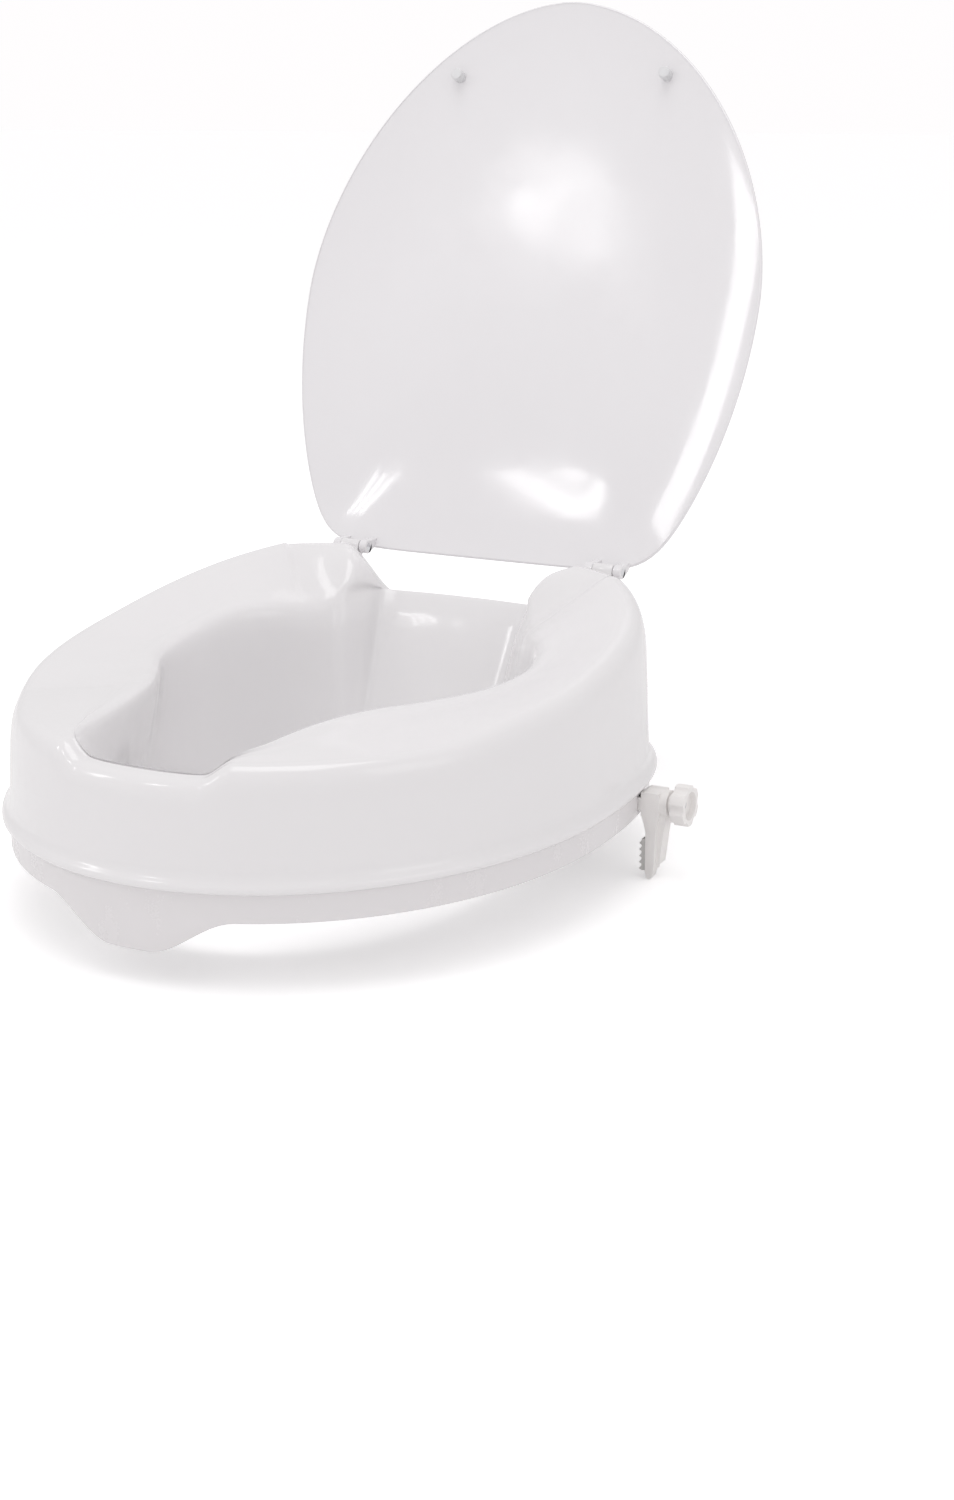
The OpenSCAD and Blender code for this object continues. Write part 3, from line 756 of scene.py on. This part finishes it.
def repeat_tree():
    """Sets one form on every point, turned the way the point faces, with a random spin on its own axis."""
    g = bpy.data.node_groups.new("repeat_form", "GeometryNodeTree")
    face = g.interface
    face.new_socket(name="Geometry", in_out="INPUT", socket_type="NodeSocketGeometry")
    face.new_socket(name="Form", in_out="INPUT", socket_type="NodeSocketObject")
    face.new_socket(name="Size", in_out="INPUT", socket_type="NodeSocketFloat")
    face.new_socket(name="Spin", in_out="INPUT", socket_type="NodeSocketFloat")
    face.new_socket(name="Finish", in_out="INPUT", socket_type="NodeSocketMaterial")
    face.new_socket(name="Geometry", in_out="OUTPUT", socket_type="NodeSocketGeometry")
    gi, go = g.nodes.new("NodeGroupInput"), g.nodes.new("NodeGroupOutput")
    info = g.nodes.new("GeometryNodeObjectInfo")
    put = g.nodes.new("GeometryNodeInstanceOnPoints")
    attr = g.nodes.new("GeometryNodeInputNamedAttribute")
    attr.data_type = "FLOAT_VECTOR"
    attr.inputs["Name"].default_value = "facing"
    rnd = g.nodes.new("FunctionNodeRandomValue")
    rnd.data_type = "FLOAT"
    rnd.inputs["Seed"].default_value = 7
    turn = g.nodes.new("GeometryNodeRotateInstances")
    xyz = g.nodes.new("ShaderNodeCombineXYZ")
    real = g.nodes.new("GeometryNodeRealizeInstances")
    paint = g.nodes.new("GeometryNodeSetMaterial")
    ln = g.links.new
    ln(gi.outputs["Form"], info.inputs["Object"])
    ln(gi.outputs["Geometry"], put.inputs["Points"])
    ln(info.outputs["Geometry"], put.inputs["Instance"])
    ln(attr.outputs["Attribute"], put.inputs["Rotation"])
    ln(gi.outputs["Size"], put.inputs["Scale"])
    ln(gi.outputs["Spin"], [s for s in rnd.inputs if s.name == "Max" and s.type == "VALUE"][0])
    ln([s for s in rnd.outputs if s.type == "VALUE"][0], xyz.inputs["Z"])
    ln(put.outputs["Instances"], turn.inputs["Instances"])
    ln(xyz.outputs["Vector"], turn.inputs["Rotation"])
    ln(turn.outputs["Instances"], real.inputs["Geometry"])
    ln(real.outputs["Geometry"], paint.inputs["Geometry"])
    ln(gi.outputs["Finish"], paint.inputs["Material"])
    ln(paint.outputs["Geometry"], go.inputs["Geometry"])
    return g


REPEAT = repeat_tree()


def repeated(points, form, size, spin, material):
    """Mesh of the form set on every (position, facing) point."""
    me = bpy.data.meshes.new("repeat_points")
    me.from_pydata([p for p, _ in points], [], [])
    a = me.attributes.new("facing", "FLOAT_VECTOR", "POINT")
    for i, (_, f) in enumerate(points):
        a.data[i].vector = f
    ob = bpy.data.objects.new("repeat_points", me)
    bpy.context.scene.collection.objects.link(ob)
    mod = ob.modifiers.new("repeat", "NODES")
    mod.node_group = REPEAT
    ids = {s.name: s.identifier for s in REPEAT.interface.items_tree if s.in_out == "INPUT"}
    for key, value in (("Form", form), ("Size", size), ("Spin", spin), ("Finish", material)):
        mod[ids[key]] = value
    dg = bpy.context.evaluated_depsgraph_get()
    got = bpy.data.meshes.new_from_object(ob.evaluated_get(dg))
    bpy.data.objects.remove(ob)
    return got


def screw_form():
    """Pan-head screw along +Z with its head's face at zero and a cross recess."""
    prof = [(0, 0), (2.4, 0), (3.2, 0.25), (3.65, 0.75), (3.8, 1.5), (3.8, 2.4), (2.0, 2.4), (2.0, 20.2),
            (1.2, 22.2), (0, 22.2)]
    bm = bmesh.new()
    vs = [bm.verts.new((r * MM, 0, z * MM)) for r, z in prof]
    es = [bm.edges.new((vs[i], vs[i + 1])) for i in range(len(vs) - 1)]
    bmesh.ops.spin(bm, geom=vs + es, cent=(0, 0, 0), axis=(0, 0, 1), angle=2 * math.pi, steps=40)
    bmesh.ops.remove_doubles(bm, verts=bm.verts, dist=1e-6)
    bmesh.ops.recalc_face_normals(bm, faces=bm.faces)
    me = bpy.data.meshes.new("screw_form")
    bm.to_mesh(me)
    bm.free()
    ob = bpy.data.objects.new("screw_form", me)
    bpy.context.scene.collection.objects.link(ob)
    cut = bmesh.new()
    for k in (0, 1):
        m = Matrix.Rotation(k * math.pi / 2, 4, "Z") @ Matrix.Diagonal((4.4 * MM, 0.9 * MM, 2.6 * MM, 1))
        bmesh.ops.create_cube(cut, size=1.0, matrix=m)
    cm = bpy.data.meshes.new("screw_cross")
    cut.to_mesh(cm)
    cut.free()
    co = bpy.data.objects.new("screw_cross", cm)
    bpy.context.scene.collection.objects.link(co)
    mod = ob.modifiers.new("cross", "BOOLEAN")
    mod.operation = "DIFFERENCE"
    mod.solver = "EXACT"
    mod.use_self = True
    mod.object = co
    dg = bpy.context.evaluated_depsgraph_get()
    got = bpy.data.meshes.new_from_object(ob.evaluated_get(dg))
    bpy.data.objects.remove(ob)
    bpy.data.objects.remove(co)
    form = bpy.data.objects.new("screw_form", got)
    bpy.context.scene.collection.objects.link(form)
    return form


def make_screws():
    form = screw_form()
    under = [((x, y, 3.6 * MM), (0, 0, 0)) for x, y in screw_places()]
    lo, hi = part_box("hinge_post_screws")
    zs = (lo[2] + 3.5 * MM, hi[2] - 3.5 * MM)
    back = [((s * HINGE_X * MM, hi[1], z), (math.pi / 2, 0, 0)) for s in (-1, 1) for z in zs]
    for name, pts, size, node in (("ring_screw_set", under, 1.0, "ring_screws"),
                                  ("hinge_screw_set", back, 0.915, "hinge_post_screws")):
        got = repeated(pts, form, size, 2 * math.pi, zinc_steel)
        finish_piece(name, got, zinc_steel, "base", [node], sharp=35)
    bpy.data.objects.remove(form)


TOOTH_DEPTH, TOOTH_STEP, TEETH, PAD_W = 1.6, 4, 5, 14


def tooth_form(side):
    """One tooth across the pad, its tip towards the bowl and its ends eased."""
    prof = [(0, -1.0), (0.18, -1.15), (1.45, -2.85), (1.6, -3.0), (1.45, -3.12), (0.18, -3.9),
            (0, -4.0), (-0.3, -4.0), (-0.3, -1.0)]
    bm = bmesh.new()
    loops = []
    for y, g in ((-6.98, 0.12), (-6.75, 0.0), (6.75, 0.0), (6.98, 0.12)):
        loops.append([bm.verts.new((-side * mix(x, 0.6, g) * MM, y * MM, mix(z, -2.6, g) * MM))
                      for x, z in prof])
    for i in range(3):
        for j in range(len(prof)):
            k = (j + 1) % len(prof)
            bm.faces.new((loops[i][j], loops[i][k], loops[i + 1][k], loops[i + 1][j]))
    bm.faces.new(loops[0])
    bm.faces.new(list(reversed(loops[3])))
    bmesh.ops.recalc_face_normals(bm, faces=bm.faces)
    me = bpy.data.meshes.new("tooth_form")
    bm.to_mesh(me)
    bm.free()
    form = bpy.data.objects.new("tooth_form", me)
    bpy.context.scene.collection.objects.link(form)
    return form


def make_clamp_pads():
    """Rubber strip with a row of teeth towards the bowl, one each side."""
    for s, side in (("left", -1), ("right", 1)):
        lo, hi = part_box("clamp_pad_" + s)
        x_back, x_tip = (hi[0], lo[0]) if side > 0 else (lo[0], hi[0])
        x_root = x_tip + side * TOOTH_DEPTH * MM
        form = tooth_form(side)
        pts = [((x_root, CLAMP_Y * MM, hi[2] - i * TOOTH_STEP * MM), (0, 0, 0)) for i in range(TEETH)]
        got = repeated(pts, form, 1.0, 0.0, pad_rubber)
        bpy.data.objects.remove(form)
        bm = bmesh.new()
        bm.from_mesh(got)
        mid = ((x_root + x_back) / 2, CLAMP_Y * MM, (lo[2] + hi[2]) / 2)
        size = (abs(x_back - x_root), PAD_W * MM, hi[2] - lo[2], 1)
        made = bmesh.ops.create_cube(bm, size=1.0, matrix=Matrix.Translation(mid) @ Matrix.Diagonal(size))
        edges = list({e for v in made["verts"] for e in v.link_edges})
        bmesh.ops.bevel(bm, geom=edges, offset=0.3 * MM, segments=2, affect="EDGES", profile=0.5)
        bm.to_mesh(got)
        bm.free()
        finish_piece("clamp_grip_" + s, got, pad_rubber, "bracket_" + s, ["clamp_pad_" + s],
                     sharp=38)


make_seat_shell()
make_base_ring()
make_lid()
make_screws()
make_clamp_pads()
for s in ("left", "right"):
    soften("hinge_post_" + s, "hinge_bracket_" + s, seat_plastic, "base", 0.7 * MM)
    soften("lid_buffer_" + s, "lid_bumper_" + s, buffer_plastic, "lid", 0.8 * MM)
    soften("clamp_bracket_" + s, "clamp_arm_" + s, clamp_plastic, "bracket_" + s, 0.5 * MM)
    soften("clamp_knob_" + s, "clamp_handwheel_" + s, knob_plastic, "knob_" + s, 0.6 * MM)
    soften("clamp_washer_" + s, "clamp_collar_" + s, clamp_plastic, "knob_" + s, 0.3 * MM)


# ---------- floor, lights and world ----------

def make_floor():
    lo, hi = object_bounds()
    z = lo[2] - 0.0005
    bpy.ops.mesh.primitive_plane_add(size=40, location=(0, 0, z))
    ob = bpy.context.object
    ob.name = "studio_floor"
    m = bpy.data.materials.new("studio_paper")
    m.use_nodes = True
    t = m.node_tree
    b = t.nodes["Principled BSDF"]
    co = t.nodes.new("ShaderNodeTexCoord").outputs["Object"]
    t.links.new(mix_color(t, noise(t, co, 3.0), (0.975, 0.972, 0.974, 1), (0.985, 0.982, 0.984, 1)),
                b.inputs["Base Color"])
    b.inputs["Roughness"].default_value = 0.9
    b.inputs["Emission Color"].default_value = (1, 1, 1, 1)
    seen = t.nodes.new("ShaderNodeLightPath").outputs["Is Camera Ray"]
    t.links.new(ramp(t, seen, 0.0, 1.0, 0.0, 0.28), b.inputs["Emission Strength"])
    ob.data.materials.append(m)


def area_light(name, azimuth, elevation, dist, w, h, power_w, aim=(0, 0.05, 0.2), color=(1, 1, 1)):
    a, e = math.radians(azimuth), math.radians(elevation)
    d = Vector((math.sin(a) * math.cos(e), -math.cos(a) * math.cos(e), math.sin(e)))
    light = bpy.data.lights.new(name, "AREA")
    light.shape = "RECTANGLE"
    light.size, light.size_y = w, h
    light.energy = power_w
    light.color = color
    ob = bpy.data.objects.new(name, light)
    bpy.context.scene.collection.objects.link(ob)
    aim = Vector(aim)
    ob.location = aim + d * dist
    ob.rotation_euler = (-d).to_track_quat("-Z", "Y").to_euler()
    return ob


def make_lights():
    lid_point = (0.066, 0.283, 0.375)
    for name, turn in (("key_strip_left", -33.6), ("key_strip_middle", -30.8), ("key_strip_right", -28.0)):
        area_light(name, turn, 35.8, 3.0, 0.07, 0.40, 0.7, aim=lid_point)
    area_light("glint_softbox", -58, 30, 2.6, 0.35, 0.5, 2.5)
    area_light("fill_softbox", 75, 30, 3.2, 1.2, 1.2, 3)
    area_light("top_softbox", 10, 82, 2.6, 1.6, 1.6, 15)
    w = bpy.data.worlds.new("studio_world")
    bpy.context.scene.world = w
    w.use_nodes = True
    t = w.node_tree
    bg = t.nodes["Background"]
    bg.inputs["Color"].default_value = (1.0, 0.985, 0.99, 1)
    seen = t.nodes.new("ShaderNodeLightPath").outputs["Is Camera Ray"]
    t.links.new(ramp(t, seen, 0.0, 1.0, 0.74, 1.0), bg.inputs["Strength"])


make_floor()
make_lights()
bpy.context.scene.view_settings.view_transform = "Standard"
